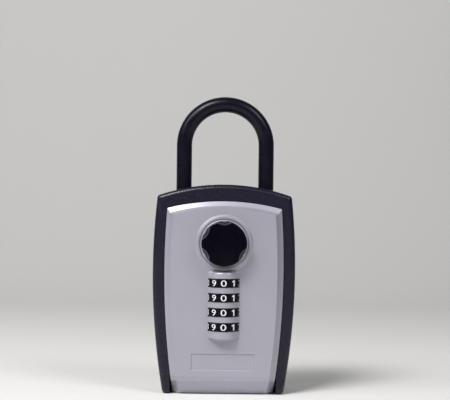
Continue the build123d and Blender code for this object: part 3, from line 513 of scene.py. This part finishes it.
class KEYSAFE_OT_knob(bpy.types.Operator):
    """Finish the knob in gloss black"""

    bl_idname = "keysafe.knob"
    bl_label = "Knob"

    def execute(self, context):
        finish = context.scene.keysafe_finish
        # ABS from a polished mould: deep black gloss with sharp, dim reflections
        gloss = moulded_plastic(
            "abs_polished_mould", finish.gloss_black, 0.1, 0.03, 12 * MM, 0.01 * MM, Specular_IOR_Level=0.25
        )
        paint(["knob_cap"], gloss)
        paint(["knob_skirt"], silver_lacquer(finish))
        return {"FINISHED"}


class KEYSAFE_OT_wheels(bpy.types.Operator):
    """Finish the number wheels and print their digits"""

    bl_idname = "keysafe.wheels"
    bl_label = "Number wheels"

    def execute(self, context):
        finish = context.scene.keysafe_finish
        wheels = context.scene.keysafe_wheels
        numerals = context.scene.keysafe_numerals
        # Acetal, moulded: a waxy satin black
        acetal = moulded_plastic(
            "acetal_moulded", finish.wheel_black, 0.3, 0.04, 2 * MM, 0.01 * MM, Specular_IOR_Level=0.18
        )
        # Epoxy ink, pad-printed: a thin opaque film that is duller than the wheel
        ink = moulded_plastic("epoxy_ink_printed", finish.ink_white, 0.45, 0.05, 0.6 * MM, 0.002 * MM)
        outlines = [numeral_outline(digit) for digit in range(DIGITS)]
        bpy.data.meshes.remove(outlines[1])
        outlines[1] = flagged_one(outlines[0])
        for k in WHEELS:
            wheel = f"number_wheel_{k}"
            low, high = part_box(wheel)
            centre = Vector((wheel_centres[k].x, wheel_centres[k].y, (low.z + high.z) / 2))
            radius = centre.y - low.y
            rim = notched_wheel(centre, radius, (high.z - low.z) / 2, wheels)
            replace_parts(piece_from(f"wheel_rim_{k}", rim, acetal, f"wheel_{k}"), wheel)
            ring = bmesh.new()
            for digit, outline in enumerate(outlines):
                add_wrapped(ring, outline, outlines[0], digit, centre, radius, numerals)
            piece_from(f"numerals_{k}", ring, ink, f"wheel_{k}")
        for outline in outlines:
            bpy.data.meshes.remove(outline)
        return {"FINISHED"}


def notched_wheel(centre, radius, half, wheels):
    """Wheel with a notch in its rim between each two digits, for the detent spring."""
    notch_turn = 2 * math.asin(wheels.notch_radius / (2 * radius))
    sector = 2 * math.pi / DIGITS
    rim = []
    for digit in range(DIGITS):
        facing = -math.pi / 2 + digit * sector
        span = sector / 2 - notch_turn
        for i in range(RIM_STEPS + 1):
            angle = facing - span + 2 * span * i / RIM_STEPS
            rim.append(Vector((math.cos(angle), math.sin(angle), 0)) * radius)
        notch = facing + sector / 2
        middle = Vector((math.cos(notch), math.sin(notch), 0)) * radius
        for i in range(1, NOTCH_STEPS):
            angle = notch - math.radians(90) - math.radians(180) * i / NOTCH_STEPS
            rim.append(middle + Vector((math.cos(angle), math.sin(angle), 0)) * wheels.notch_radius)
    bore = [point.normalized() * wheels.bore_radius for point in rim]
    inset = (radius - wheels.rim_edge) / radius
    levels = (
        (bore, 1.0, -half),
        (rim, inset, -half),
        (rim, 1.0, wheels.rim_edge - half),
        (rim, 1.0, half - wheels.rim_edge),
        (rim, inset, half),
        (bore, 1.0, half),
    )
    bm = bmesh.new()
    rings = []
    for points, scale, height in levels:
        rings.append([bm.verts.new(centre + Vector((p.x * scale, p.y * scale, height))) for p in points])
    skin(bm, rings + rings[:1])
    bmesh.ops.recalc_face_normals(bm, faces=bm.faces)
    smooth_below(bm, WHEEL_SHARP)
    return bm


def numeral_outline(digit):
    """Mesh of one digit from Blender's own sans-serif letters, as a slab with both its faces."""
    curve = bpy.data.curves.new(f"numeral_{digit}", "FONT")
    curve.body = str(digit)
    curve.size = 1.0
    curve.offset = 0.002
    curve.extrude = 0.5
    curve.align_x = "CENTER"
    curve.resolution_u = 6
    holder = bpy.data.objects.new(f"numeral_{digit}", curve)
    bpy.context.scene.collection.objects.link(holder)
    bpy.context.view_layer.update()
    mesh = bpy.data.meshes.new_from_object(holder.evaluated_get(bpy.context.evaluated_depsgraph_get()))
    bpy.data.objects.remove(holder)
    bpy.data.curves.remove(curve)
    return mesh


def flagged_one(zero):
    """Mesh of a 1 with a flag, as tall as the given 0: the built-in letters have a bare bar."""
    heights = [v.co.y for v in zero.vertices]
    low = min(heights)
    tall = max(heights) - low
    bm = bmesh.new()
    back, front = [
        [bm.verts.new((x * tall, low + y * tall, z)) for x, y in FLAGGED_ONE] for z in (-0.5, 0.5)
    ]
    bm.faces.new(back[::-1])
    bm.faces.new(front)
    skin(bm, [back, front])
    mesh = bpy.data.meshes.new("numeral_1")
    bm.to_mesh(mesh)
    bm.free()
    return mesh


def add_wrapped(ring, outline, zero, digit, centre, radius, numerals):
    """Adds one digit to a wheel's ring of digits, bent round its rim."""
    zero_y = [v.co.y for v in zero.vertices]
    own_x = [v.co.x for v in outline.vertices]
    width = {0: numerals.zero_width, 1: numerals.one_width}.get(digit, numerals.width)
    scale_x = width / (max(own_x) - min(own_x))
    scale_y = numerals.height / (max(zero_y) - min(zero_y))
    middle_x = (max(own_x) + min(own_x)) / 2
    middle_y = (max(zero_y) + min(zero_y)) / 2
    strips = bmesh.new()
    strips.from_mesh(outline)
    for v in strips.verts:
        v.co.x = (v.co.x - middle_x) * scale_x
        v.co.y = (v.co.y - middle_y) * scale_y
    bmesh.ops.remove_doubles(strips, verts=strips.verts, dist=0.01 * MM)
    cuts = math.ceil(numerals.width / numerals.strip)
    for i in range(-cuts, cuts + 1):
        geometry = list(strips.verts) + list(strips.edges) + list(strips.faces)
        cut_at = (i + STRIP_SHIFT) * numerals.strip
        bmesh.ops.bisect_plane(strips, geom=geometry, plane_co=(cut_at, 0, 0), plane_no=(1, 0, 0))
    # Digit 0 faces the front, and the next digit is one tenth of a turn to the right
    facing = math.radians(-90 + digit * 360 / DIGITS)
    for v in strips.verts:
        out = radius + (numerals.relief if v.co.z > 0 else -numerals.sink)
        angle = facing + v.co.x / radius
        v.co = centre + Vector((out * math.cos(angle), out * math.sin(angle), v.co.y))
    bent = bpy.data.meshes.new("bent_numeral")
    strips.to_mesh(bent)
    strips.free()
    ring.from_mesh(bent)
    bpy.data.meshes.remove(bent)


class KEYSAFE_OT_lockwork(bpy.types.Operator):
    """Finish the latch, the crank, the sleeves and the other works inside the door"""

    bl_idname = "keysafe.lockwork"
    bl_label = "Lock works"

    def execute(self, context):
        finish = context.scene.keysafe_finish
        zinc = zinc_plate(finish)
        # Spring steel, cold rolled: darker than the zinc plate, with marks drawn out sideways
        spring_steel = worked_metal(
            "spring_steel_rolled", finish.spring_colour, 0.3, 0.4 * MM, (0.1, 1.0, 1.0), 0.002 * MM
        )
        # Brass, turned: yellow, with fine rings round the sleeve
        brass = worked_metal(
            "brass_turned", finish.brass_colour, 0.25, 0.4 * MM, (0.1, 0.1, 1.0), 0.003 * MM
        )
        # Zinc alloy as cast, tumbled: an even dull grey
        alloy = worked_metal(
            "zinc_alloy_cast", finish.alloy_colour, 0.45, 0.8 * MM, (1.0, 1.0, 1.0), 0.01 * MM
        )
        # Steel, turned and blackened: near black with a dull metal sheen
        oxide = worked_metal(
            "steel_black_oxide", finish.oxide_colour, 0.4, 0.4 * MM, (1.0, 0.1, 0.1), 0.002 * MM
        )
        paint(
            [
                "shackle_guide", "shackle_lock_plate", "latch_slide", "latch_studs", "knob_shaft",
                "knob_crank", "crank_screw", "wheel_spindle", "detent_screws",
            ],
            zinc,
        )
        paint(["detent_spring", "knob_clip", "spindle_clip", "reset_spring"], spring_steel)
        paint([f"code_sleeve_{k}" for k in WHEELS], brass)
        paint(["reset_slider"], alloy)
        paint(["hinge_pin"], oxide)
        hardware = context.scene.keysafe_hardware
        make_coil(hardware, spring_steel)
        # Countersunk heads, flush with the door's plate
        out = Vector((0, 1, 0))
        make_screws("back_plate_screws", "lid_screws", out, COUNTERSUNK_HEAD, zinc, "door", hardware)
        # Pan heads under the shackle's guide
        down = Vector((0, 0, -1))
        make_screws("guide_screws", "guide_pan_screws", down, PAN_HEAD, zinc, "root", hardware)
        return {"FINISHED"}


def loose_boxes(node):
    """Boxes of the separate solids in a CAD node."""
    bm = bmesh.new()
    bm.from_mesh(nodes[node].data)
    bm.transform(nodes[node].matrix_world)
    bmesh.ops.remove_doubles(bm, verts=bm.verts, dist=0.001 * MM)
    unseen = set(bm.verts)
    boxes = []
    while unseen:
        heap = [unseen.pop()]
        places = []
        while heap:
            vertex = heap.pop()
            places.append(vertex.co.copy())
            for edge in vertex.link_edges:
                other = edge.other_vert(vertex)
                if other in unseen:
                    unseen.remove(other)
                    heap.append(other)
        boxes.append([Vector([pick(place[i] for place in places) for i in range(3)]) for pick in (min, max)])
    bm.free()
    return sorted(boxes, key=lambda box: tuple(box[0]))


def make_screws(node, name, out, profile, material, body, hardware):
    """Cross-recessed screws in place of plain ones. The profile is in millimetres from the head's face."""
    bm = bmesh.new()
    for low, high in loose_boxes(node):
        head = (low + high) / 2 + out * abs((high - low).dot(out)) / 2
        length = abs((high - low).dot(out))
        rings = [(depth * MM, radius * MM) for depth, radius in profile]
        rings.append((-length, rings[-1][1]))
        add_screw(bm, head, out, rings, hardware)
    smooth_below(bm, SCREW_SHARP)
    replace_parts(piece_from(name, bm, material, body), node)


def add_screw(bm, head, out, rings, hardware):
    """Adds one turned screw whose flat face has a tapering cross recess."""
    turn = Vector((0, 0, 1)).rotation_difference(out).to_matrix().to_4x4()
    place = Matrix.Translation(head) @ turn
    wing = rings[0][1] * WING_SHARE
    half = hardware.recess_width / 2
    loops = []
    for depth, radius in rings:
        angles = [2 * math.pi * i / SCREW_SIDES for i in range(SCREW_SIDES)]
        points = [Vector((radius * math.cos(a), radius * math.sin(a), depth)) for a in angles]
        loops.append([bm.verts.new(place @ point) for point in points])
    skin(bm, loops)
    bm.faces.new(loops[-1])
    corners = []
    for quarter in range(4):
        angle = math.radians(90 * quarter)
        cosine, sine = math.cos(angle), math.sin(angle)
        for x, y in ((wing, -half), (wing, half), (half, half)):
            corners.append((x * cosine - y * sine, x * sine + y * cosine))
    mouth = [bm.verts.new(place @ Vector((x, y, 0))) for x, y in corners]
    foot = [
        bm.verts.new(place @ Vector((x * FOOT_SHARE, y * FOOT_SHARE, -hardware.recess_depth)))
        for x, y in corners
    ]
    skin(bm, [mouth, foot])
    bm.faces.new(foot)
    edges = []
    for rim in (loops[0], mouth):
        edges += [bm.edges.get((rim[i], rim[(i + 1) % len(rim)])) for i in range(len(rim))]
    bmesh.ops.triangle_fill(bm, use_beauty=True, edges=edges)
    bmesh.ops.recalc_face_normals(bm, faces=bm.faces)


def make_coil(hardware, material):
    """Reset spring: a coil with closed ends in place of the plain tube."""
    low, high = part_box("reset_spring")
    wire = hardware.spring_wire / 2
    middle = (low + high) / 2
    radius = (high.x - low.x) / 2 - wire
    bottom = low.z + wire
    top = high.z - wire
    count = hardware.spring_turns * COIL_STEPS
    closed = 2 * wire
    points = []
    for i in range(count + 1):
        turn = i / COIL_STEPS
        rest = hardware.spring_turns - turn
        if turn < 1:
            rise = closed * turn
        elif rest < 1:
            rise = (top - bottom) - closed * rest
        else:
            share = (turn - 1) / (hardware.spring_turns - 2)
            rise = closed + share * (top - bottom - 2 * closed)
        angle = 2 * math.pi * turn
        x = middle.x + radius * math.cos(angle)
        y = middle.y + radius * math.sin(angle)
        points.append(Vector((x, y, bottom + rise)))
    coil = tube_along(points, wire, WIRE_SIDES)
    smooth_below(coil, COIL_SHARP)
    piece = piece_from("reset_coil", coil, material, "door")
    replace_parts(piece, "reset_spring")
    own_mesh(piece)


def tube_along(points, radius, sides):
    """Closed round tube through a list of points."""
    bm = bmesh.new()
    rings = []
    for i, point in enumerate(points):
        ahead = points[min(i + 1, len(points) - 1)]
        behind = points[max(i - 1, 0)]
        along = (ahead - behind).normalized()
        outward = along.cross(Vector((0, 0, 1))).normalized()
        upward = outward.cross(along)
        ring = []
        for s in range(sides):
            angle = 2 * math.pi * s / sides
            ring.append(bm.verts.new(point + radius * (math.cos(angle) * outward + math.sin(angle) * upward)))
        rings.append(ring)
    skin(bm, rings)
    bm.faces.new(rings[0][::-1])
    bm.faces.new(rings[-1])
    bmesh.ops.recalc_face_normals(bm, faces=bm.faces)
    return bm


class KEYSAFE_OT_stage(bpy.types.Operator):
    """Set the pale floor, the soft lamps and the camera"""

    bl_idname = "keysafe.stage"
    bl_label = "Stage"

    def execute(self, context):
        settings = context.scene.keysafe_stage
        make_floor(settings)
        add_lamp("key_lamp", KEY_PLACE, settings.key_power)
        add_lamp("fill_lamp", FILL_PLACE, settings.fill_power)
        add_lamp("side_lamp", SIDE_PLACE, settings.side_power)
        world = bpy.data.worlds.new("studio")
        world.use_nodes = True
        background = world.node_tree.nodes["Background"]
        background.inputs["Color"].default_value = (1.0, 1.0, 1.0, 1.0)
        background.inputs["Strength"].default_value = settings.world_light
        context.scene.world = world
        context.scene.view_settings.view_transform = "Standard"
        camera_data = bpy.data.cameras.new("camera")
        camera_data.lens = settings.lens
        camera_data.sensor_width = 36.0
        camera_data.sensor_fit = "HORIZONTAL"
        camera_data.clip_start = 0.01
        camera = bpy.data.objects.new("camera", camera_data)
        camera.location = (settings.eye_offset, -settings.distance, settings.eye_height)
        camera.rotation_euler = (math.radians(90), settings.roll, 0)
        context.scene.collection.objects.link(camera)
        context.scene.camera = camera
        return {"FINISHED"}


def add_lamp(name, place, power):
    """A square soft lamp, aimed at the safe."""
    data = bpy.data.lights.new(name, "AREA")
    data.shape = "SQUARE"
    data.size = LAMP_SIZE
    data.energy = power
    lamp = bpy.data.objects.new(name, data)
    lamp.location = place
    lamp.rotation_euler = (LAMP_AIM - place).to_track_quat("-Z", "Y").to_euler()
    bpy.context.scene.collection.objects.link(lamp)


def make_floor(settings):
    """A pale floor that curves up into a backdrop."""
    half_width = 1.6
    front = -1.6
    bend_start = 0.7
    bend_radius = 0.5
    top = 2.2
    profile = [(front, 0.0), (bend_start, 0.0)]
    for i in range(1, FLOOR_STEPS + 1):
        angle = math.radians(90) * i / FLOOR_STEPS
        profile.append((bend_start + bend_radius * math.sin(angle), bend_radius * (1 - math.cos(angle))))
    profile.append((bend_start + bend_radius, top))
    bm = bmesh.new()
    lines = [[bm.verts.new((x, y, z)) for x in (-half_width, half_width)] for y, z in profile]
    for line, following in zip(lines, lines[1:]):
        bm.faces.new((line[0], line[1], following[1], following[0])).smooth = True
    mesh = bpy.data.meshes.new("floor")
    bm.to_mesh(mesh)
    bm.free()
    floor = bpy.data.objects.new("floor", mesh)
    bpy.context.scene.collection.objects.link(floor)
    # Seamless paper: matt and pale
    paper = start_material("seamless_paper", Base_Color=settings.floor_colour, Roughness=0.9)[0]
    mesh.materials.append(paper)


class KEYSAFE_PT_panel(bpy.types.Panel):
    """Settings and pieces of the key safe"""

    bl_idname = "KEYSAFE_PT_panel"
    bl_label = "Key Safe"
    bl_space_type = "VIEW_3D"
    bl_region_type = "UI"
    bl_category = "Key Safe"

    def draw(self, context):
        for operator in OPERATORS:
            self.layout.operator(operator.bl_idname)
        for name, group in SETTINGS.items():
            box = self.layout.box()
            box.label(text=group.__doc__)
            for setting in group.__annotations__:
                box.prop(getattr(context.scene, name), setting)


OPERATORS = (
    KEYSAFE_OT_body,
    KEYSAFE_OT_door,
    KEYSAFE_OT_shackle,
    KEYSAFE_OT_knob,
    KEYSAFE_OT_wheels,
    KEYSAFE_OT_lockwork,
    KEYSAFE_OT_stage,
)


def register():
    for name, group in SETTINGS.items():
        bpy.utils.register_class(group)
        setattr(bpy.types.Scene, name, PointerProperty(type=group))
    for operator in OPERATORS:
        bpy.utils.register_class(operator)
    bpy.utils.register_class(KEYSAFE_PT_panel)


def unregister():
    bpy.utils.unregister_class(KEYSAFE_PT_panel)
    for operator in reversed(OPERATORS):
        bpy.utils.unregister_class(operator)
    for name, group in reversed(SETTINGS.items()):
        delattr(bpy.types.Scene, name)
        bpy.utils.unregister_class(group)


def main():
    """Registers the add-on and makes every piece."""
    register()
    for operator in OPERATORS:
        family, name = operator.bl_idname.split(".")
        getattr(getattr(bpy.ops, family), name)()


if __name__ == "__main__":
    main()
